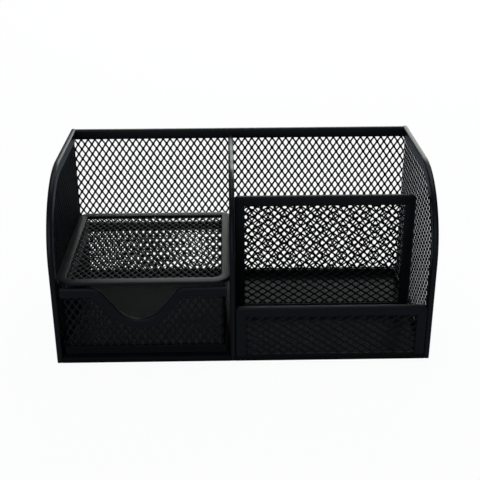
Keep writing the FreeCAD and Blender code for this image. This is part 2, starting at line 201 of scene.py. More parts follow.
@dataclass(frozen=True)
class Course:
    """Edge that a hem runs along, with its inside on the right of the way it runs.

    A point n inside the edge is at + n * inward, at every station.
    """

    at: np.ndarray
    inward: np.ndarray

    @staticmethod
    def line(start: Place | np.ndarray, end: Place | np.ndarray) -> "Course":
        """Straight stretch from a start to an end."""
        at = np.array((start, end))
        return Course(at, np.repeat(right_of(unit(np.diff(at, axis=0))), 2, axis=0))

    @staticmethod
    def top(box: Extent, facing: Facing) -> "Course":
        """Top edge of a panel, from its low end along u to its high end."""
        low, high = box.span(facing)
        return Course.line((low, box.top), (high, box.top))

    @staticmethod
    def foot(box: Extent, facing: Facing) -> "Course":
        """Bottom edge of a panel, from its high end along u to its low end."""
        low, high = box.span(facing)
        return Course.line((high, box.bottom), (low, box.bottom))

    @staticmethod
    def arc(centre: Place, radius: float, start: float, end: float) -> "Course":
        """Round stretch; its inward points to the centre if it runs clockwise, or away.

        Args:
            centre: middle of the circle.
            radius: its radius.
            start: first angle, in degrees.
            end: last angle.

        Returns:
            The stretch, with a station every few degrees.
        """
        degrees_a_step = 3.0
        steps = max(2, math.ceil(abs(end - start) / degrees_a_step))
        at = arc_points(centre, radius, start, end, steps)
        return Course(at, math.copysign(1.0, end - start) * (at - np.asarray(centre)) / radius)

    @staticmethod
    def over(start: Place, arcs: list["Course"], end: Place) -> "Course":
        """Edge that runs straight to its first arc, between its arcs and from its last.

        Args:
            start: first station.
            arcs: the arcs in order.
            end: last station.

        Returns:
            The edge, with each shared station kept once.
        """
        same_place = 1e-7
        runs = [Course.line(start, arcs[0].at[0]), *arcs, Course.line(arcs[-1].at[-1], end)]
        at = np.concatenate([run.at for run in runs])
        inward = np.concatenate([run.inward for run in runs])
        keep = np.concatenate(((True,), step_lengths(at) > same_place))
        return Course(at[keep], inward[keep])

    @staticmethod
    def shouldered(side: Extent, radius: float) -> "Course":
        """Edge of an upright side, up its front, over its shoulder and back along its top."""
        shoulder = Course.arc((side.front + radius, side.top - radius), radius, 180.0, 90.0)
        return Course.over((side.front, side.bottom), [shoulder], (side.rear, side.top))

    def inset(self, depth: float) -> np.ndarray:
        """Line that lies a depth inside the edge."""
        return self.at + depth * self.inward


def rounded_rectangle(left: float, right: float, low: float, high: float, radius: float,
                      far_radius: float, seam: float = 0.0) -> Course:
    """Edge that runs clockwise all the way round, from the middle of its far side.

    Args:
        left: lowest u.
        right: highest u.
        low: lowest v.
        high: highest v.
        radius: radius of its two low corners.
        far_radius: radius of its two high corners.
        seam: gap between its two ends.

    Returns:
        The edge.
    """
    middle = (left + right) / 2
    corners = (
        ((right - far_radius, high - far_radius), far_radius, 90.0),
        ((right - radius, low + radius), radius, 0.0),
        ((left + radius, low + radius), radius, -90.0),
        ((left + far_radius, high - far_radius), far_radius, -180.0),
    )
    arcs = [Course.arc(centre, size, start, start - 90.0) for centre, size, start in corners]
    return Course.over((middle + seam / 2, high), arcs, (middle - seam / 2, high))


def nearest_on(line: np.ndarray, points: np.ndarray) -> tuple[np.ndarray, np.ndarray]:
    """Nearest place on a line of straight pieces.

    Each point is dropped square onto every piece, p = a + t (b - a) with t kept from 0
    to 1, and the nearest of those feet is taken.

    Args:
        line: the line's points.
        points: points to look from.

    Returns:
        The nearest places, and how far along the line each lies.
    """
    start, run, length = line[:-1], np.diff(line, axis=0), step_lengths(line)
    before = np.concatenate(((0.0,), np.cumsum(length)[:-1]))
    offset = points[:, None, :] - start[None]
    share = np.clip((offset * run).sum(axis=-1) / np.maximum(length, TINY) ** 2, 0.0, 1.0)
    feet = start[None] + share[..., None] * run[None]
    best = np.linalg.norm(points[:, None, :] - feet, axis=-1).argmin(axis=1)
    row = np.arange(len(points))
    return feet[row, best], (before + share * length)[row, best]


@dataclass(frozen=True)
class BentLine:
    """Plan line that a wrapped sheet follows: straight runs with small round bends.

    Its corners turn to the right, so its right side is the inside of what it wraps.
    """

    at: np.ndarray
    inward: np.ndarray
    run: np.ndarray

    @staticmethod
    def through(corners: list[Place], radius: float) -> "BentLine":
        """Line through square corners, each rounded by a quarter turn.

        A bend's points are corner - r d1 + r (sin a d1 + (1 - cos a) d2), where d1 and
        d2 are the directions before and after it and a runs from 0 to a quarter turn.

        Args:
            corners: start, corners in order, and end.
            radius: radius of each bend.

        Returns:
            The line.
        """
        steps = 8
        turn = np.linspace(0.0, math.pi / 2, steps + 1)[:, None]
        way = np.asarray(corners, dtype=float)
        ahead = unit(np.diff(way, axis=0))
        at, heading = [way[:1]], [ahead[:1]]
        for corner, before, after in zip(way[1:-1], ahead[:-1], ahead[1:]):
            at.append(corner - radius * before
                      + radius * (np.sin(turn) * before + (1 - np.cos(turn)) * after))
            heading.append(np.cos(turn) * before + np.sin(turn) * after)
        at = np.concatenate([*at, way[-1:]])
        heading = np.concatenate([*heading, ahead[-1:]])
        run = np.concatenate(((0.0,), np.cumsum(step_lengths(at))))
        return BentLine(at, right_of(heading), run)

    @property
    def length(self) -> float:
        """Length from end to end."""
        return float(self.run[-1])

    def corners(self) -> np.ndarray:
        """Middles of the bends, which are where the line turns from station to station.

        Returns:
            How far along the line each lies.
        """
        least_turn = 1e-6
        turning = step_lengths(self.inward) > least_turn
        starts = np.flatnonzero(turning & ~np.concatenate(((False,), turning[:-1])))
        ends = np.flatnonzero(turning & ~np.concatenate((turning[1:], (False,)))) + 1
        return (self.run[starts] + self.run[ends]) / 2

    def along(self, x: float, y: float) -> float:
        """How far along the line a plan point lies."""
        return float(nearest_on(self.at, np.array(((x, y),)))[1][0])

    def wrap(self, s: np.ndarray, z: np.ndarray, w: np.ndarray, loop: bool) -> np.ndarray:
        """Lay a flat strip along the line: its place at s, plus w times its inward there.

        Args:
            s: distance along the strip.
            z: height up the strip.
            w: height over its inner side.
            loop: whether the line closes on itself.

        Returns:
            Points, with x, y and z in the last axis.
        """
        run = s % self.length if loop else s
        place = [np.interp(run, self.run, values) for values in (*self.at.T, *self.inward.T)]
        return np.stack((place[0] + w * place[2], place[1] + w * place[3], z), axis=-1)


# --- Skins ---


@dataclass(frozen=True)
class Skin:
    """Closed surface: its points, and its faces as index tables, one table per face size."""

    points: np.ndarray
    faces: list[np.ndarray]

    @staticmethod
    def joined(skins: list["Skin"]) -> "Skin":
        """Several closed surfaces as one, each turned right side out.

        Args:
            skins: the surfaces.

        Returns:
            All of them, with their faces renumbered.
        """
        turned = [skin.outward() for skin in skins]
        starts = np.cumsum([0] + [len(skin.points) for skin in turned])
        faces = [table + start for skin, start in zip(turned, starts) for table in skin.faces]
        return Skin(np.concatenate([skin.points for skin in turned]), faces)

    def volume(self) -> float:
        """Signed volume: a sixth of a . (b x c), summed over each face's fan of triangles.

        Returns:
            The volume, which is negative if the faces point in.
        """
        total = 0.0
        for table in self.faces:
            for corner in range(1, table.shape[1] - 1):
                a, b, c = (self.points[table[:, k]] for k in (0, corner, corner + 1))
                total += float(np.einsum("ij,ij->", a, np.cross(b, c))) / 6
        return total

    def outward(self) -> "Skin":
        """The same surface with its faces pointing out."""
        order = 1 if self.volume() >= 0 else -1
        return Skin(self.points, [table[:, ::order] for table in self.faces])


def loft(rings: np.ndarray) -> Skin:
    """Surface through a row of rings, each joined to the next by a band of quads.

    Args:
        rings: points as (station, round the ring, xyz).

    Returns:
        The surface, closed by a cap at either end.
    """
    stations, around = rings.shape[:2]
    index = np.arange(stations * around).reshape(stations, around)
    here, ahead = index[:-1], index[1:]
    band = np.stack((here, np.roll(here, -1, 1), np.roll(ahead, -1, 1), ahead), axis=-1)
    return Skin(rings.reshape(-1, 3), [band.reshape(-1, 4), index[:1, ::-1], index[-1:]])


@dataclass(frozen=True)
class EndCut:
    """Cut of a hem's end, and the outer radius of the corner that a mitre makes."""

    shape: EndShape = EndShape.SQUARE
    corner_radius: float = 0.0


@dataclass(frozen=True)
class FoldedHem:
    """Steel strip folded over a mesh edge: two plies, a folded outer edge and a slot."""

    width: float
    thickness: float = 3.0 * MM
    slot: float = 1.0 * MM
    fold: float = 0.8 * MM
    edge_radius: float = 1.0 * MM
    lip_radius: float = 0.35 * MM
    mitre_gap: float = 0.22 * MM
    clearance: float = 0.1 * MM

    @property
    def hides(self) -> float:
        """How deep the slot hides the edge of a mesh."""
        return self.width - self.fold - self.clearance

    def section(self) -> np.ndarray:
        """Section of the strip, closed by its own mirror image.

        One half runs from the slot's end along the inside of a ply, round its lip, back
        along its outside and round the folded edge.

        Returns:
            Points as (inset, height).
        """
        half, gap = self.thickness / 2, self.slot / 2
        lip, edge = self.lip_radius, self.edge_radius
        upper = np.concatenate((
            [(self.fold, gap)],
            arc_points((self.width - lip, gap + lip), lip, -90.0, 0.0, 2),
            arc_points((self.width - lip, half - lip), lip, 0.0, 90.0, 3),
            arc_points((edge, half - edge), edge, 90.0, 180.0, 6),
        ))
        return np.concatenate((upper, upper[::-1] * (1.0, -1.0)))

    def _mitre(self, course: Course, end: int, after: int, radius: float) -> np.ndarray:
        """Section places from the start of a corner to its mitre.

        The first station is as far from the corner as the hem is wide. From there the
        share f runs from 0 to 1. Inside the corner's radius r, a point n deep is on a
        circle about the corner's middle: r - (r - n) sin(45 f) along the hem, and
        r - (r - n) cos(45 f) in. Deeper in, it is W - (W - n) f along the hem.

        Args:
            course: the edge.
            end: its station at the tip of the corner.
            after: the station next to it.
            radius: the corner's outer radius.

        Returns:
            Places as (station, point, uv), the last station on the mitre.
        """
        steps = 5
        corner = course.at[end]
        run, inward = unit(course.at[after] - corner), course.inward[end]
        share = np.linspace(0.0, 1.0, steps + 1)[:, None]
        inset = self.section()[None, :, 0]
        rest = radius - inset
        turn = math.pi / 4 * share
        along = np.where(rest > 0, radius - rest * np.sin(turn),
                         self.width - (self.width - inset) * share)
        inside = np.where(rest > 0, radius - rest * np.cos(turn), inset)
        along = np.concatenate((np.full_like(inset, self.width), along)) + self.mitre_gap / 2
        inside = np.concatenate((inset, inside))
        return corner + along[..., None] * run + inside[..., None] * inward

    def along(self, course: Course, plane: Plane,
              cuts: tuple[EndCut, EndCut] = (EndCut(), EndCut())) -> Skin:
        """Carry the section along an edge: place = at + inset * inward.

        Args:
            course: the edge.
            plane: the plane that it lies in.
            cuts: how its two ends are cut.

        Returns:
            The hem.
        """
        inset, height = self.section().T
        rows = course.at[:, None, :] + inset[None, :, None] * course.inward[:, None, :]
        first, last = cuts
        if first.shape is EndShape.MITRE:
            corner = self._mitre(course, 0, 1, first.corner_radius)
            rows = np.concatenate((corner[::-1], rows[1:]))
        if last.shape is EndShape.MITRE:
            corner = self._mitre(course, -1, -2, last.corner_radius)
            rows = np.concatenate((rows[:-1], corner))
        return loft(plane.stand(rows[..., 0], rows[..., 1], height[None]))


@dataclass(frozen=True)
class BareWindow:
    """Part of a mesh sheet that its hems leave bare, and how deep they hide its edge."""

    border: np.ndarray
    hidden: float | np.ndarray

    def holds(self, points: np.ndarray) -> np.ndarray:
        """Whether points are inside: a ray to the right crosses the border an odd number
        of times.

        Args:
            points: flat points of the sheet.

        Returns:
            A truth value for each.
        """
        u, v = points.T[..., None]
        from_u, from_v = self.border.T
        to_u, to_v = np.roll(self.border, -1, axis=0).T
        crossed = (from_v <= v) != (to_v <= v)
        share = (v - from_v) / np.where(to_v == from_v, 1.0, to_v - from_v)
        return (crossed & (from_u + share * (to_u - from_u) > u)).sum(axis=1) % 2 == 1

    def tuck(self, points: np.ndarray, reach: float) -> np.ndarray:
        """Squeeze what is outside the border until the hems hide it.

        An outside point keeps the direction from its nearest place on the border. Up to
        half of the hidden depth it keeps its distance too, and beyond that its distance
        is squeezed so that the reach lands on the hidden depth.

        Args:
            points: flat points of the sheet.
            reach: how far outside the furthest may lie.

        Returns:
            The points, with those inside unmoved.
        """
        outside = ~self.holds(points)
        line = np.concatenate((self.border, self.border[:1]))
        feet, along = nearest_on(line, points[outside])
        away = points[outside] - feet
        distance = np.linalg.norm(away, axis=1)
        sides = len(self.border)
        ends = np.cumsum(step_lengths(line))
        depths = np.broadcast_to(self.hidden, sides)
        hidden = np.minimum(depths[np.searchsorted(ends, along - TINY) % sides],
                            depths[np.searchsorted(ends, along + TINY) % sides])
        half = hidden / 2
        squeezed = half + (distance - half) * (hidden - half) / (reach - half)
        kept = np.where(distance < half, distance, squeezed)
        tucked = points.copy()
        tucked[outside] = feet + away * (kept / np.maximum(distance, TINY))[:, None]
        return tucked


@dataclass(frozen=True)
class ExpandedMesh:
    """Expanded steel: one diamond opening repeated, each with half of its four strands.

    Strands have a six-sided section, lean a little as slit and stretched steel does, and
    thicken into a knot where they cross.
    """

    short_way: float = 4.2 * MM
    long_way: float = 6.2 * MM
    strand: float = 1.0 * MM
    strand_crown: float = 0.5
    strand_half_height: float = 0.21 * MM
    knot_half_height: float = 0.33 * MM
    lean: float = 0.18 * MM
    blunt_sharp_end: float = 0.11
    blunt_wide_end: float = 0.18

    def _openings(self, half: np.ndarray, long_way_up: bool) -> tuple[np.ndarray, np.ndarray]:
        """Rings round one opening: its crown above, its waist and its crown below.

        A ring is the diamond |u| + |v| = scale in half cells, with each corner cut off
        between two points that lie a small share along the sides. The scale is
        1 - (width / 2) / h, where h is the distance from a cell's middle to its side. A
        strand is as wide as the mesh says at the waist, and narrower at its crowns.

        Args:
            half: half of a cell, along u and v.
            long_way_up: whether the long diagonal runs along v.

        Returns:
            Ring points in half cells as (ring, point, uv), and their heights.
        """
        to_side = half[0] * half[1] / np.hypot(*half)
        here = np.array(((1.0, 0.0), (0.0, 1.0), (-1.0, 0.0), (0.0, -1.0)))
        after = np.roll(here, -1, axis=0)
        blunt = (self.blunt_wide_end, self.blunt_sharp_end)[::1 if long_way_up else -1]
        near, far = np.tile(blunt, 2)[:, None], np.tile(blunt[::-1], 2)[:, None]
        ring = np.stack((here + near * (after - here), after + far * (here - after)), axis=1)
        width = self.strand * np.array((self.strand_crown, 1.0, self.strand_crown))
        rings = ring.reshape(-1, 2) * (1 - width / 2 / to_side)[:, None, None]
        heights = self.strand_half_height * np.array((1.0, 0.0, -1.0))[:, None]
        return rings, heights - self.lean * rings[..., 0 if long_way_up else 1]

    def cut(self, window: BareWindow, layout: Layout, long_way_up: bool = True,
            loop: float = 0.0, folds: np.ndarray = np.empty(0)) -> Skin:
        """Lattice over a window, with its ragged edge tucked out of sight.

        Cell middles are the whole-number pairs with an even sum, in half cells, and
        knots are the pairs with an odd sum. A cell is kept if its opening shows. Between
        folds the columns are stretched a little, so that each fold has knots along it.

        Args:
            window: what the hems leave bare.
            layout: puts flat places and the heights over them in the caddy.
            long_way_up: whether the long diagonal runs along v.
            loop: length round a closed strip, or 0 for a sheet with ends.
            folds: where along u the sheet is folded.

        Returns:
            The lattice, laid out.
        """
        size = (self.short_way, self.long_way)[::1 if long_way_up else -1]
        columns = round(loop / size[0])
        half = np.array((loop / columns if columns else size[0], size[1])) / 2
        low = np.floor(window.border.min(axis=0) / half).astype(int) - 1
        high = np.ceil(window.border.max(axis=0) / half).astype(int) + 1
        across = np.arange(2 * columns) if columns else np.arange(low[0], high[0] + 1)
        i, j = np.meshgrid(across, np.arange(low[1], high[1] + 1), indexing="ij")
        cells = np.stack((i, j), axis=-1)[(i + j) % 2 == 0]
        rings, ring_height = self._openings(half, long_way_up)
        first, last = low[0] * half[0], loop or high[0] * half[0]
        marks = np.concatenate(((first, 0.0), folds, (last,)))

        def placed(grid: np.ndarray) -> np.ndarray:
            """Flat places of points that are given in half cells."""
            u = np.interp(grid[..., 0], np.round(marks / half[0]), marks)
            return np.stack((u, grid[..., 1] * half[1]), axis=-1)

        opening = placed(cells[:, None, :] + rings[1][None])
        shown = window.holds(opening.reshape(-1, 2)).reshape(len(cells), -1).any(axis=1)
        cells = cells[shown]

        steps = np.array(((1, 0), (0, 1), (-1, 0), (0, -1)))
        corner = (cells[:, None, :] + steps[None]).reshape(-1, 2)
        if columns:
            corner[:, 0] %= 2 * columns
        knots, knot_of = np.unique(corner, axis=0, return_inverse=True)
        ring_points = placed(cells[:, None, None, :] + rings[None])
        knot_points = placed(knots)
        places = np.concatenate((knot_points, knot_points, ring_points.reshape(-1, 2)))
        heights = np.concatenate((
            np.repeat((self.knot_half_height, -self.knot_half_height), len(knots)),
            np.broadcast_to(ring_height, ring_points.shape[:3]).ravel(),
        ))
        tucked = window.tuck(places, float(half.max() * 2))
        faces = self._faces(knot_of.reshape(-1, 4), len(knots))
        return Skin(layout(*tucked.T, heights), faces)

    @staticmethod
    def _faces(knot_of: np.ndarray, knots: int) -> list[np.ndarray]:
        """Faces of a lattice.

        Round each opening, a quad on either side of the sheet runs along each strand and
        a triangle fills each knot, and two bands of quads line the hole. Where no
        neighbour shares a strand, a quad closes the sheet's edge.

        Args:
            knot_of: upper knots of each cell, anticlockwise from the right.
            knots: number of knots on each side of the sheet.

        Returns:
            A table of quads and a table of triangles.
        """
        rings, around = 3, 8
        ring = np.arange(len(knot_of) * rings * around).reshape(-1, rings, around) + 2 * knots
        upper, waist, lower = ring[:, 0], ring[:, 1], ring[:, 2]
        quads, triangles = [], []
        for k in range(4):
            here, there = knot_of[:, k], knot_of[:, (k + 1) % 4]
            near, far, other = 2 * k, 2 * k + 1, (2 * k - 1) % around
            quads.append((here, there, upper[:, far], upper[:, near]))
            quads.append((lower[:, near], lower[:, far], there + knots, here + knots))
            triangles.append((here, upper[:, near], upper[:, other]))
            triangles.append((here + knots, lower[:, other], lower[:, near]))
        for top, bottom in ((upper, waist), (waist, lower)):
            band = (top, np.roll(top, -1, 1), np.roll(bottom, -1, 1), bottom)
            quads.append([side.ravel() for side in band])
        sides = np.stack((knot_of, np.roll(knot_of, -1, 1)), axis=-1).reshape(-1, 2)
        keys = sides[:, 0] * knots + sides[:, 1]
        a, b = sides[~np.isin(keys, sides[:, 1] * knots + sides[:, 0])].T
        quads.append((a, a + knots, b + knots, b))
        return [np.concatenate([np.stack(face, axis=-1) for face in kind])
                for kind in (quads, triangles)]

    def panel(self, window: BareWindow, plane: Plane, long_way_up: bool = True) -> Skin:
        """Flat panel of mesh, over what its hems leave bare."""
        return self.cut(window, plane.stand, long_way_up)

    def strip(self, window: BareWindow, line: BentLine, loop: bool) -> Skin:
        """Mesh strip bent along a plan line, over what its hems leave bare."""
        wrap, length = partial(line.wrap, loop=loop), line.length if loop else 0.0
        return self.cut(window, wrap, loop=length, folds=line.corners())


# --- Paint ---


@dataclass(frozen=True)
class PowderCoat:
    """Satin black powder coat for one kind of sheet or strand."""

    name: str
    slot: PaintSlot
    lightness: float
    roughness: float
    specular: float
    peel_size: float = 0.7 * MM
    peel_height: float = 0.012 * MM
    peel_strength: float = 0.5
    gloss_size: float = 6 * MM
    gloss_spread: float = 0.08
    tone_size: float = 30 * MM
    tone_spread: float = 0.15
    # lightness that upward faces gain: partly settled dust, partly painted light on the tops
    dust_and_top_light_lift: float = 0.01


RIM_COAT = PowderCoat("satin_black_rims", PaintSlot.RIM, 0.004, 0.32, 0.1)
MESH_COAT = PowderCoat("satin_black_mesh", PaintSlot.MESH, 0.002, 0.4, 0.1)
SHEET_COAT = PowderCoat("satin_black_sheet", PaintSlot.SHEET, 0.004, 0.26, 0.02)


@dataclass(frozen=True)
class Wiring:
    """Adds nodes to a shader tree, and links their inputs."""

    tree: bpy.types.NodeTree

    @staticmethod
    def of(owner: bpy.types.Material | bpy.types.World) -> "Wiring":
        """Wiring of a new material or world, with no nodes yet.

        Args:
            owner: the material or world.

        Returns:
            Its wiring.
        """
        owner.use_nodes = True
        owner.node_tree.nodes.clear()
        return Wiring(owner.node_tree)

    @staticmethod
    def of_effect(name: str, output: str, **inputs: str) -> tuple["Wiring", dict[str, Socket]]:
        """Start a node group that puts out one value.

        Args:
            name: the group's name.
            output: name of its output.
            inputs: kind of each input by name, Float or Vector.

        Returns:
            The group's wiring, and its inputs by name.
        """
        group = bpy.data.node_groups.new(name, "ShaderNodeTree")
        for label, kind in inputs.items():
            group.interface.new_socket(label, in_out="INPUT", socket_type=f"NodeSocket{kind}")
        group.interface.new_socket(output, in_out="OUTPUT", socket_type="NodeSocketFloat")
        wiring = Wiring(group)
        entry = wiring.add("NodeGroupInput")
        return wiring, {label: entry.outputs[label] for label in inputs}

    def ended(self, result: Socket) -> bpy.types.NodeTree:
        """The node group, closed with its result."""
        self.add("NodeGroupOutput", {0: result})
        return self.tree

    def add(self, kind: str, inputs: dict | None = None, **settings: object) -> bpy.types.Node:
        """Add a node.

        Args:
            kind: the node's type.
            inputs: a value or an output socket for each named or numbered input.
            settings: the node's own settings.

        Returns:
            The node.
        """
        node = self.tree.nodes.new(kind)
        for setting, value in settings.items():
            setattr(node, setting, value)
        for socket, value in (inputs or {}).items():
            if isinstance(value, Socket):
                self.tree.links.new(value, node.inputs[socket])
            else:
                node.inputs[socket].default_value = value
        return node

    def math(self, operation: str, *values: float | Socket) -> Socket:
        """Result of one sum, such as MULTIPLY_ADD, which is a * b + c."""
        node = self.add("ShaderNodeMath", dict(enumerate(values)), operation=operation)
        return node.outputs[0]

    def sight(self) -> Socket:
        """1 for what the camera looks at, and 0 for the light that it gives."""
        return self.add("ShaderNodeLightPath").outputs["Is Camera Ray"]

    def by_sight(self, seen: float, otherwise: float) -> Socket:
        """One value for what the camera looks at, and another for the light that it gives."""
        return self.math("MULTIPLY_ADD", self.sight(), seen - otherwise, otherwise)

    def studio_hue(self) -> Socket:
        """White for what the camera looks at, and cool for the light that it gives."""
        mix = {0: self.sight(), 1: (*COOL, 1.0), 2: (*WHITE, 1.0)}
        return self.add("ShaderNodeMixRGB", mix).outputs["Color"]


class PaintShop:
    """Makes one material for each coat, with node groups that all of them share."""

    peel_detail: float = 2.0
    peel_roughness: float = 0.6
    drift_detail: float = 3.0
    # noise and power of the upward-face mask: partly settled dust, partly painted top light
    dust_and_top_light_detail: float = 4.0
    dust_and_top_light_scale: float = 90.0
    dust_and_top_light_power: float = 4.0

    def __init__(self) -> None:
        """Make each group once."""
        self.orange_peel = self._orange_peel()
        self.drift = self._drift()
        self.dust_and_top_light = self._dust_and_top_light()

    def _orange_peel(self) -> bpy.types.NodeTree:
        """Height of the coat's fine peel: noise whose grains have a given size.

        Returns:
            The group.
        """
        wiring, entry = Wiring.of_effect("orange_peel", "Height", Vector="Vector",
                                         Size="Float")
        noise = wiring.add("ShaderNodeTexNoise", {
            "Vector": entry["Vector"], "Scale": wiring.math("DIVIDE", 1.0, entry["Size"]),
            "Detail": self.peel_detail, "Roughness": self.peel_roughness})
        return wiring.ended(noise.outputs["Fac"])

    def _drift(self) -> bpy.types.NodeTree:
        """Slow change round 1 over the object: 1 + spread * (2 * noise - 1).

        Returns:
            The group.
        """
        wiring, entry = Wiring.of_effect("drift", "Factor", Vector="Vector", Size="Float",
                                         Spread="Float")
        noise = wiring.add("ShaderNodeTexNoise", {
            "Vector": entry["Vector"], "Scale": wiring.math("DIVIDE", 1.0, entry["Size"]),
            "Detail": self.drift_detail})
        centred = wiring.math("MULTIPLY_ADD", noise.outputs["Fac"], 2.0, -1.0)
        return wiring.ended(wiring.math("MULTIPLY_ADD", centred, entry["Spread"], 1.0))

    def _dust_and_top_light(self) -> bpy.types.NodeTree:
        """Mask of what faces up, for settled dust and painted light on the tops: how far the
        normal leans up, to a power, with noise.

        Returns:
            The group.
        """
        wiring, entry = Wiring.of_effect("dust_and_top_light", "Mask", Vector="Vector")
        normal = wiring.add("ShaderNodeNewGeometry").outputs["Normal"]
        lean = wiring.add("ShaderNodeSeparateXYZ", {0: normal}).outputs["Z"]
        flat = wiring.math("POWER", wiring.math("MAXIMUM", lean, 0.0), self.dust_and_top_light_power)
        noise = wiring.add("ShaderNodeTexNoise", {
            "Vector": entry["Vector"], "Scale": self.dust_and_top_light_scale, "Detail": self.dust_and_top_light_detail})
        return wiring.ended(wiring.math("MULTIPLY", flat, noise.outputs["Fac"]))

    @cache
    def material(self, coat: PowderCoat) -> bpy.types.Material:
        """Material of a coat, made on first use: its peel, tone, and dust with painted top
        light over one shader.

        Args:
            coat: the coat.

        Returns:
            Its material.
        """
        material = bpy.data.materials.new(coat.name)
        wiring = Wiring.of(material)
        place = wiring.add("ShaderNodeTexCoord").outputs["Object"]

        def effect(group: bpy.types.NodeTree, **inputs: float) -> Socket:
            """Result of an effect with its own values."""
            asked = {"Vector": place} | inputs
            return wiring.add("ShaderNodeGroup", asked, node_tree=group).outputs[0]

        height = effect(self.orange_peel, Size=coat.peel_size)
        tone = effect(self.drift, Size=coat.tone_size, Spread=coat.tone_spread)
        gloss = effect(self.drift, Size=coat.gloss_size, Spread=coat.gloss_spread)
        dust_and_top_light_mask = effect(self.dust_and_top_light)
        # upward faces are made lighter: partly settled dust, partly painted light on the tops
        lifted_by_dust_and_top_light = wiring.math("MULTIPLY_ADD", dust_and_top_light_mask, coat.dust_and_top_light_lift, coat.lightness)
        grey = wiring.math("MULTIPLY", lifted_by_dust_and_top_light, tone)
        colour = wiring.add("ShaderNodeCombineColor",
                            {"Red": grey, "Green": grey, "Blue": grey})
        bump = wiring.add("ShaderNodeBump", {
            "Height": height, "Strength": coat.peel_strength, "Distance": coat.peel_height})
        shader = wiring.add("ShaderNodeBsdfPrincipled", {
            "Base Color": colour.outputs[0],
            "Roughness": wiring.math("MULTIPLY", gloss, coat.roughness),
            "Specular IOR Level": coat.specular, "Normal": bump.outputs[0]})
        wiring.add("ShaderNodeOutputMaterial", {"Surface": shader.outputs[0]})
        return material


# --- Pieces ---


@dataclass(frozen=True)
class Piece:
    """One finished piece of the caddy."""

    name: str
    skin: Skin
    coat: PowderCoat
    stands_for: tuple[str, ...]
    body: str = FIXED_BODY
    sharp_from: float = math.radians(38.0)

    @staticmethod
    def edge(node: str, hem: FoldedHem, course: Course, facing: Facing,
             body: str = FIXED_BODY) -> "Piece":
        """Hem that stands for a rim or a sill, and takes its name and plane from it.

        Args:
            node: name of the rim or the sill.
            hem: the hem.
            course: the edge that it runs along.
            facing: how the edge's plane stands.
            body: what it rides on.

        Returns:
            The piece.
        """
        name = node.replace("rim", "hem").replace("sill", "foot_hem")
        skin = hem.along(course, Extent.of(node).plane(facing))
        return Piece(name, skin, RIM_COAT, (node,), body)

    @staticmethod
    def framed(panel: str, hems: Skin, grille: Skin) -> list["Piece"]:
        """Hems and grille, which stand for a panel's rim and its mesh."""
        return [Piece(f"{panel}_hem", hems, RIM_COAT, (f"{panel}_rim",)),
                Piece(f"{panel}_grille", grille, MESH_COAT, (f"{panel}_mesh",))]

    def mesh(self) -> bpy.types.Mesh:
        """Mesh of the piece, smooth but for its sharp edges.

        Returns:
            The mesh.
        """
        skin = self.skin.outward()
        corners = np.concatenate([table.ravel() for table in skin.faces])
        sizes = np.concatenate([np.full(len(table), table.shape[1]) for table in skin.faces])
        mesh = bpy.data.meshes.new(self.name)
        mesh.vertices.add(len(skin.points))
        mesh.vertices.foreach_set("co", skin.points.astype(np.float32).ravel())
        mesh.loops.add(len(corners))
        mesh.loops.foreach_set("vertex_index", corners.astype(np.int32))
        mesh.polygons.add(len(sizes))
        mesh.polygons.foreach_set("loop_start", (np.cumsum(sizes) - sizes).astype(np.int32))
        mesh.update(calc_edges=True)
        mesh.shade_smooth()
        mesh.set_sharp_from_angle(angle=self.sharp_from)
        return mesh

    def install(self, paint_shop: PaintShop) -> bpy.types.Object:
        """Put the piece in the scene, painted and riding on its body.

        Args:
            paint_shop: makes its material.

        Returns:
            Its object.
        """
        obj = put_in_scene(self.name, self.mesh())
        obj.data.materials.append(paint_shop.material(self.coat))
        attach(obj, self.body)
        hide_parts(*self.stands_for)
        return obj


def put_in_scene(name: str, data: bpy.types.ID) -> bpy.types.Object:
    """Make an object at the origin.

    Args:
        name: its name.
        data: its mesh, lamp or camera.

    Returns:
        The object.
    """
    obj = bpy.data.objects.new(name, data)
    bpy.context.scene.collection.objects.link(obj)
    return obj


class SubAssembly(ABC):
    """A group of pieces that are made together."""

    @abstractmethod
    def pieces(self) -> list[Piece]:
        """Every piece of the group, at rest."""


@dataclass(frozen=True)
class OuterShell(SubAssembly):
    """Mesh sheet wrapped round both rear corners, with its side and rear hems and sills."""

    shoulder_radius: float = 45.0 * MM
    bend_radius: float = 0.8 * MM
    hem: FoldedHem = FoldedHem(6.0 * MM)
    sill: FoldedHem = FoldedHem(6.5 * MM)
    mesh: ExpandedMesh = ExpandedMesh()

    def wrapped_mesh(self) -> Piece:
        """The one mesh sheet of the left side, the rear and the right side.

        Returns:
            The sheet.
        """
        side = Extent.of("left_side_rim")
        left, right = (Extent.of(f"{name}_side_rim").plane(Facing.FORE_AND_AFT).level
                       for name in ("left", "right"))
        rear = Extent.of("rear_rim").plane(Facing.ACROSS).level
        start = side.front + self.hem.fold
        path = BentLine.through([(left, start), (left, rear), (right, rear), (right, start)],
                                self.bend_radius)
        lip = Course.shouldered(side, self.shoulder_radius).inset(self.hem.width)[:-1]
        lip[0, 1] = self.sill.width
        near = lip - (start, 0.0)
        far = np.stack((path.length - near[::-1, 0], near[::-1, 1]), axis=-1)
        window = BareWindow(np.concatenate((near, far)), self.hem.hides)
        return Piece("shell_mesh", self.mesh.strip(window, path, loop=False), MESH_COAT,
                     ("left_side_mesh", "rear_mesh", "right_side_mesh"))

    def pieces(self) -> list[Piece]:
        """Shell mesh, hems and sills.

        Returns:
            The pieces.
        """
        made = [self.wrapped_mesh()]
        for side in ("left_side", "right_side", "rear"):
            facing, rim, sill = Facing.of(side), f"{side}_rim", f"{side}_sill"
            over = (Course.top(Extent.of(rim), facing) if side == "rear"
                    else Course.shouldered(Extent.of(rim), self.shoulder_radius))
            under = Course.foot(Extent.of(sill), facing)
            made.append(Piece.edge(rim, self.hem, over, facing))
            made.append(Piece.edge(sill, self.sill, under, facing))
        return made


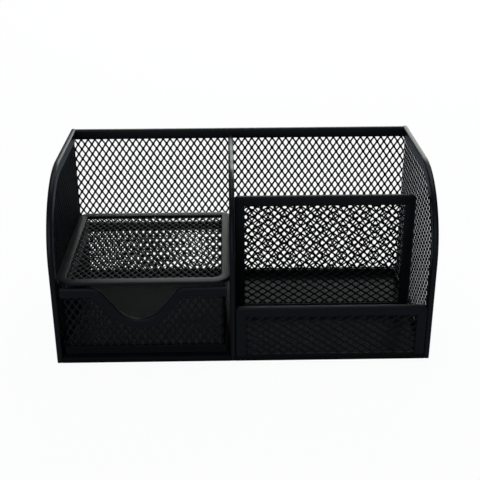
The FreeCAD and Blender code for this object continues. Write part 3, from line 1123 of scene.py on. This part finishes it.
@dataclass(frozen=True)
class FloorPlate(SubAssembly):
    """Sheet floor with its edges bent down to the desk, notched for the divider's foot."""

    sheet: float = 0.8 * MM
    bend_radius: float = 0.9 * MM
    notch_depth: float = 6.0 * MM
    notch_lip: float = 0.6 * MM
    notch_lip_depth: float = 0.8 * MM

    def pieces(self) -> list[Piece]:
        """The floor: rings that follow its outline, each as deep inside it as a profile says.

        A ring's corner is the outline's corner plus its depth times the mitre there, which
        is the sum of the two sides' inner normals over 1 plus their dot product.

        Returns:
            The floor alone.
        """
        plate, divider = Extent.of("floor_plate"), Extent.of("centre_divider_rim")
        notch = plate.front + self.notch_depth
        lip = plate.front + self.notch_lip_depth
        outline = np.array((
            (plate.left, plate.front), (divider.left + self.notch_lip, plate.front),
            (divider.left, lip), (divider.left, notch), (divider.right, notch),
            (divider.right, lip), (divider.right - self.notch_lip, plate.front),
            (plate.right, plate.front), (plate.right, plate.rear), (plate.left, plate.rear),
        ))
        inner = -right_of(unit(np.roll(outline, -1, axis=0) - outline))
        before = np.roll(inner, 1, axis=0)
        mitre = (before + inner) / (1 + (before * inner).sum(axis=1))[:, None]
        profile = np.concatenate((
            [(self.sheet, plate.top - self.sheet), (self.sheet, plate.bottom),
             (0.0, plate.bottom)],
            arc_points((self.bend_radius, plate.top - self.bend_radius), self.bend_radius,
                       180.0, 90.0, 5)))
        rings = outline[None] + profile[:, None, :1] * mitre[None]
        heights = np.broadcast_to(profile[:, None, 1:], (*rings.shape[:2], 1))
        sheet = loft(np.concatenate((rings, heights), axis=-1))
        return [Piece("floor_sheet", sheet, SHEET_COAT, ("floor_plate",))]


@dataclass(frozen=True)
class CentreDivider(SubAssembly):
    """Upright mesh panel from front to rear, hemmed all round, on a foot at the front."""

    shoulder_radius: float = 41.5 * MM
    hem: FoldedHem = FoldedHem(6.0 * MM, edge_radius=1.45 * MM)
    mesh: ExpandedMesh = ExpandedMesh()

    def pieces(self) -> list[Piece]:
        """Hems and mesh of the divider.

        Returns:
            The two pieces.
        """
        rim, floor = Extent.of("centre_divider_rim"), Extent.of("floor_plate").top
        plane, width = rim.plane(Facing.FORE_AND_AFT), self.hem.width
        square, mitre = EndCut(), EndCut(EndShape.MITRE)
        over = Course.shouldered(rim, self.shoulder_radius)
        rear = Course.line((rim.rear, rim.top), (rim.rear, floor))
        under = Course.line((rim.rear, floor), (rim.front + width, floor))
        hems = Skin.joined([
            self.hem.along(over, plane, (square, mitre)),
            self.hem.along(rear, plane, (mitre, mitre)),
            self.hem.along(under, plane, (mitre, square)),
        ])
        lip = over.inset(width)
        lip[0, 1] = floor + width
        lip[-1, 0] = rim.rear - width
        border = np.concatenate((lip, [(rim.rear - width, floor + width)]))
        window = BareWindow(border, self.hem.hides)
        return Piece.framed("centre_divider", hems, self.mesh.panel(window, plane))


@dataclass(frozen=True)
class FramedPanel(SubAssembly):
    """Upright mesh panel across the right half, in mitred hems."""

    name: str
    hem: FoldedHem
    bare_bottom: bool = False
    corner_radius: float = 2.0 * MM
    seat: float = 0.4 * MM
    mesh: ExpandedMesh = ExpandedMesh()

    def pieces(self) -> list[Piece]:
        """Hems and mesh of the panel.

        Returns:
            The two pieces.
        """
        rim = Extent.of(f"{self.name}_rim")
        plane = rim.plane(Facing.ACROSS)
        corners = ((rim.left, rim.bottom), (rim.left, rim.top), (rim.right, rim.top),
                   (rim.right, rim.bottom))
        round_cut = EndCut(EndShape.MITRE, self.corner_radius)
        plain_cut = EndCut() if self.bare_bottom else EndCut(EndShape.MITRE)
        cuts = (plain_cut, round_cut, round_cut, plain_cut)
        sides = range(3 if self.bare_bottom else 4)
        hems = Skin.joined([
            self.hem.along(Course.line(corners[k], corners[(k + 1) % 4]), plane,
                           (cuts[k], cuts[(k + 1) % 4])) for k in sides])
        towards_middle = np.array(((1, 1), (1, -1), (-1, -1), (-1, 1)), dtype=float)
        hidden = np.full(4, self.hem.hides)
        if self.bare_bottom:
            towards_middle[[0, 3], 1] = self.seat / self.hem.width
            hidden[3] = self.seat / 2
        window = BareWindow(np.array(corners) + self.hem.width * towards_middle, hidden)
        grille = self.mesh.panel(window, plane, long_way_up=False)
        return Piece.framed(self.name, hems, grille)


@dataclass(frozen=True)
class Shelf(SubAssembly):
    """Flat mesh shelf in a hem with round corners and a butt seam at its rear."""

    front_radius: float = 10.0 * MM
    rear_radius: float = 5.8 * MM
    seam: float = 0.3 * MM
    hem: FoldedHem = FoldedHem(5.4 * MM, thickness=2.0 * MM, edge_radius=0.7 * MM,
                               lip_radius=0.2 * MM)
    mesh: ExpandedMesh = ExpandedMesh()

    def pieces(self) -> list[Piece]:
        """Hem and mesh of the shelf.

        Returns:
            The two pieces.
        """
        rim = Extent.of("shelf_rim")
        plane = rim.plane(Facing.FLAT)
        edge = rounded_rectangle(rim.left, rim.right, rim.front, rim.rear, self.front_radius,
                                 self.rear_radius, self.seam)
        window = BareWindow(edge.inset(self.hem.width), self.hem.hides)
        return Piece.framed("shelf", self.hem.along(edge, plane),
                            self.mesh.panel(window, plane))


@dataclass(frozen=True)
class Wave:
    """Finger notch in the drawer's front edge: two shoulders, straight flanks, a round dip."""

    depth: float = 19.0 * MM
    offset: float = -2.5 * MM
    dip_radius: float = 14.5 * MM
    shoulder_radius: float = 8.0 * MM
    flank: float = 52.0

    def half_width(self) -> float:
        """How far from the notch's middle the edge is level again.

        Both arcs turn by the flank's angle a, so they drop (R + r) (1 - cos a) over a
        width of (R + r) sin a, and the straight flank drops the rest at that angle.

        Returns:
            The distance.
        """
        angle = math.radians(self.flank)
        radii = self.dip_radius + self.shoulder_radius
        straight_drop = self.depth - radii * (1 - math.cos(angle))
        return radii * math.sin(angle) + straight_drop / math.tan(angle)

    def course(self, left: float, right: float, top: float) -> Course:
        """Edge from left to right, with the notch near its middle.

        Args:
            left: where it starts.
            right: where it ends.
            top: its height beside the notch.

        Returns:
            The edge.
        """
        middle = (left + right) / 2 + self.offset
        reach, flank, shoulder = self.half_width(), self.flank, self.shoulder_radius
        dip = (middle, top - self.depth + self.dip_radius)
        return Course.over((left, top), [
            Course.arc((middle - reach, top - shoulder), shoulder, 90.0, 90.0 - flank),
            Course.arc(dip, self.dip_radius, 270.0 - flank, 270.0 + flank),
            Course.arc((middle + reach, top - shoulder), shoulder, 90.0 + flank, 90.0),
        ], (right, top))


@dataclass(frozen=True)
class Drawer(SubAssembly):
    """Mesh drawer: one strip of mesh round a folded sheet pan, hemmed along its top."""

    wave: Wave = Wave()
    hem: FoldedHem = FoldedHem(5.3 * MM)
    mesh: ExpandedMesh = ExpandedMesh()
    wall_bend: float = 0.6 * MM
    spare_mesh: float = 10 * MM
    sheet: float = 0.8 * MM
    ply: float = 1.0 * MM
    lip_height: float = 5.0 * MM
    lip_round: float = 0.35 * MM
    corner_radius: float = 1.3 * MM
    least_corner_radius: float = 0.2 * MM
    runner_width: float = 5.0 * MM
    runner_inset: float = 12.0 * MM
    runner_round: float = 1.2 * MM

    def walls(self) -> Piece:
        """Mesh strip round the drawer, its ends meeting in the middle of the rear.

        Returns:
            The strip.
        """
        pan, front, rear = (Extent.of(f"drawer_{name}") for name in
                            ("pan", "front_rim", "rear_rim"))
        middle = (pan.left + pan.right) / 2
        left, right = pan.left + self.hem.thickness / 2, pan.right - self.hem.thickness / 2
        near, far = (rim.plane(Facing.ACROSS).level for rim in (front, rear))
        path = BentLine.through(
            [(middle, far), (right, far), (right, near), (left, near), (left, far),
             (middle, far)], self.wall_bend)
        lip = self.wave.course(left, right, front.top).inset(self.hem.width)[::-1]
        lip[:, 0] = path.along(right, near) + right - lip[:, 0]
        wall, spare = rear.top - self.hem.width, self.spare_mesh
        border = np.concatenate((
            [(-spare, pan.top), (-spare, wall), (lip[0, 0], wall)], lip,
            [(lip[-1, 0], wall), (path.length + spare, wall), (path.length + spare, pan.top)]))
        window = BareWindow(border, min(self.hem.hides, self.lip_height - 2 * self.sheet))
        nodes = (f"drawer_{side}_mesh" for side in ("front", "left", "right", "rear"))
        return Piece("drawer_wall_mesh", self.mesh.strip(window, path, loop=True), MESH_COAT,
                     tuple(nodes), DRAWER_BODY)

    def hems(self) -> list[Piece]:
        """Hems along the tops of the four walls.

        Returns:
            The hems.
        """
        made = []
        for side in ("front", "left", "right", "rear"):
            facing, node = Facing.of(side), f"drawer_{side}_rim"
            rim = Extent.of(node)
            over = (self.wave.course(rim.left, rim.right, rim.top) if side == "front"
                    else Course.top(rim, facing))
            made.append(Piece.edge(node, self.hem, over, facing, DRAWER_BODY))
        return made

    def pan(self) -> Piece:
        """Sheet pan whose lip is folded to grip the walls, with two pressed runners.

        Its section goes from the underside round the bend, up the outer ply, over its
        top, down into the slot, up and over the inner ply and down to the floor. Each
        section point gives a rounded rectangle that lies its depth inside the outline.

        Returns:
            The pan.
        """
        pan, wall = Extent.of("drawer_pan"), Extent.of("drawer_front_rim")
        base = pan.top - self.lip_height
        floor = base + self.sheet
        bend, turn, bead = self.corner_radius, self.lip_round, self.runner_round
        slot, inner, deep = self.ply, 2 * self.ply, 3 * self.ply
        over = pan.top - turn
        lip = np.concatenate((
            arc_points((bend, base + bend), bend, 270.0, 180.0, 4),
            arc_points((turn, over), turn, 180.0, 90.0, 3),
            arc_points((slot - turn, over), turn, 90.0, 0.0, 3),
            [(slot, floor), (inner, floor)],
            arc_points((inner + turn, over), turn, 180.0, 90.0, 3),
            arc_points((deep - turn, over), turn, 90.0, 0.0, 3),
            arc_points((deep + turn, floor + turn), turn, 180.0, 270.0, 3),
        ))
        runner = np.concatenate((
            [(0.0, base + self.sheet / 2)],
            arc_points((bead, pan.bottom + bead), bead, 180.0, 270.0, 5)))
        outline = np.array((pan.left, pan.right, wall.front, pan.rear))
        left, right, *ends = self._shrunk(outline, self.runner_inset)
        runners = ((left, left + self.runner_width), (right - self.runner_width, right))
        tray = Skin.joined([self._pressed(outline, lip)] + [
            self._pressed(np.array((*sides, *ends)), runner) for sides in runners])
        return Piece("drawer_tray", tray, SHEET_COAT, ("drawer_pan",), DRAWER_BODY)

    @staticmethod
    def _shrunk(outline: np.ndarray, inset: float) -> np.ndarray:
        """A rectangle's left, right, front and rear, all moved in."""
        return outline + inset * np.array((1.0, -1.0, 1.0, -1.0))

    def _pressed(self, outline: np.ndarray, section: np.ndarray) -> Skin:
        """Carry a section round a rounded rectangle: one level ring for each of its points.

        Args:
            outline: the rectangle's left, right, front and rear.
            section: points as (inset, height).

        Returns:
            The pressed form.
        """
        rings = []
        for inset, height in section:
            radius = max(self.corner_radius - inset, self.least_corner_radius)
            edge = rounded_rectangle(*self._shrunk(outline, inset), radius, radius).at[1:-1]
            rings.append(np.column_stack((edge, np.full(len(edge), height))))
        return loft(np.stack(rings))

    def pieces(self) -> list[Piece]:
        """Pan, walls and hems."""
        return [self.pan(), self.walls(), *self.hems()]


# --- Studio ---


@dataclass(frozen=True)
class SoftBox:
    """Flat lamp that points at the caddy."""

    name: str
    place: tuple[float, float, float]
    width: float
    height: float
    power: float
    colour: Colour = WHITE
    aim: tuple[float, float, float] = (0.0, 0.0, 0.04)

    def hang(self) -> None:
        """Put the lamp in the scene."""
        data = bpy.data.lights.new(self.name, "AREA")
        data.shape = "RECTANGLE"
        data.size = self.width
        data.size_y = self.height
        data.energy = self.power
        data.color = self.colour
        lamp = put_in_scene(self.name, data)
        lamp.visible_camera = False
        look = Vector(self.aim) - Vector(self.place)
        lamp.matrix_world = (Matrix.Translation(self.place)
                             @ look.to_track_quat("-Z", "Y").to_matrix().to_4x4())


@dataclass(frozen=True)
class Studio:
    """Pale floor, soft light and the camera."""

    floor_radius: float = 4.0
    floor_sides: int = 96
    floor_drop: float = 0.02 * MM
    floor_lightness: float = 0.9
    floor_bounce: float = 0.3
    glow: float = 0.95
    mirrored_glow: float = 0.36
    room: float = 0.26
    boxes: tuple[SoftBox, ...] = (
        SoftBox("overhead", (0.1, 0.35, 1.3), 0.9, 0.9, 7.0),
        SoftBox("rear", (0.26, 1.3, 0.55), 1.12, 0.8, 10.0, WARM),
        SoftBox("sweep", (0.9, 1.6, 0.14), 2.4, 0.24, 4.5),
        SoftBox("front", (-0.3, -1.3, 0.5), 1.2, 1.2, 9.0, COOL),
    )
    camera_place: tuple[float, float, float] = (-0.00737, -0.47675, 0.26472)
    camera_pitch: float = 24.24
    camera_yaw: float = 0.773
    camera_roll: float = -0.3435
    camera_near: float = 0.01
    focal_length: float = 67.18
    sensor_width: float = 36.0

    def lay_floor(self) -> None:
        """Round floor whose glow keeps it pale, under a soft shadow."""
        rim = arc_points((0.0, 0.0), self.floor_radius, 0.0, 360.0, self.floor_sides)[:-1]
        mesh = bpy.data.meshes.new("studio_floor")
        mesh.from_pydata([(x, y, -self.floor_drop) for x, y in rim], [],
                         [tuple(range(len(rim)))])
        material = bpy.data.materials.new("studio_floor")
        wiring = Wiring.of(material)
        lightness = wiring.by_sight(self.floor_lightness, self.floor_bounce)
        shade = wiring.add("ShaderNodeBsdfDiffuse", {"Color": lightness})
        glow = wiring.add("ShaderNodeEmission",
                          {"Color": wiring.studio_hue(), "Strength": 1.0})
        mixed = wiring.add("ShaderNodeMixShader", {
            0: wiring.by_sight(self.glow, self.mirrored_glow), 1: shade.outputs[0],
            2: glow.outputs[0]})
        wiring.add("ShaderNodeOutputMaterial", {"Surface": mixed.outputs[0]})
        mesh.materials.append(material)
        floor = put_in_scene("studio_floor", mesh)

    def light_room(self) -> None:
        """Room light: white where it is seen, and softer where it only lights."""
        world = bpy.data.worlds.new("studio")
        wiring = Wiring.of(world)
        light = wiring.add("ShaderNodeBackground", {
            "Color": wiring.studio_hue(), "Strength": wiring.by_sight(1.0, self.room)})
        wiring.add("ShaderNodeOutputWorld", {"Surface": light.outputs[0]})
        bpy.context.scene.world = world

    def place_camera(self) -> None:
        """Camera that looks down at the front."""
        data = bpy.data.cameras.new("camera")
        data.lens = self.focal_length
        data.sensor_width = self.sensor_width
        data.clip_start = self.camera_near
        camera = put_in_scene("camera", data)
        camera.matrix_world = (
            Matrix.Translation(self.camera_place)
            @ Matrix.Rotation(math.radians(-self.camera_yaw), 4, "Z")
            @ Matrix.Rotation(math.radians(90.0 - self.camera_pitch), 4, "X")
            @ Matrix.Rotation(math.radians(self.camera_roll), 4, "Z"))
        bpy.context.scene.camera = camera

    def build(self) -> None:
        """Set the studio up."""
        self.lay_floor()
        self.light_room()
        for box in self.boxes:
            box.hang()
        self.place_camera()
        bpy.context.scene.view_settings.view_transform = "Standard"


# --- Build ---


def main() -> None:
    """Build every sub-assembly and the studio."""
    logging.basicConfig(level=logging.INFO, format="%(message)s")
    paint_shop = PaintShop()
    assemblies: list[SubAssembly] = [
        OuterShell(),
        FloorPlate(),
        CentreDivider(),
        FramedPanel("middle_divider", FoldedHem(6.0 * MM)),
        FramedPanel("front_panel", FoldedHem(5.5 * MM), bare_bottom=True),
        Shelf(),
        Drawer(),
    ]
    for assembly in assemblies:
        for piece in assembly.pieces():
            obj = piece.install(paint_shop)
            LOG.info("%s: %d faces", obj.name, len(obj.data.polygons))
    Studio().build()


if __name__ == "__main__":
    main()
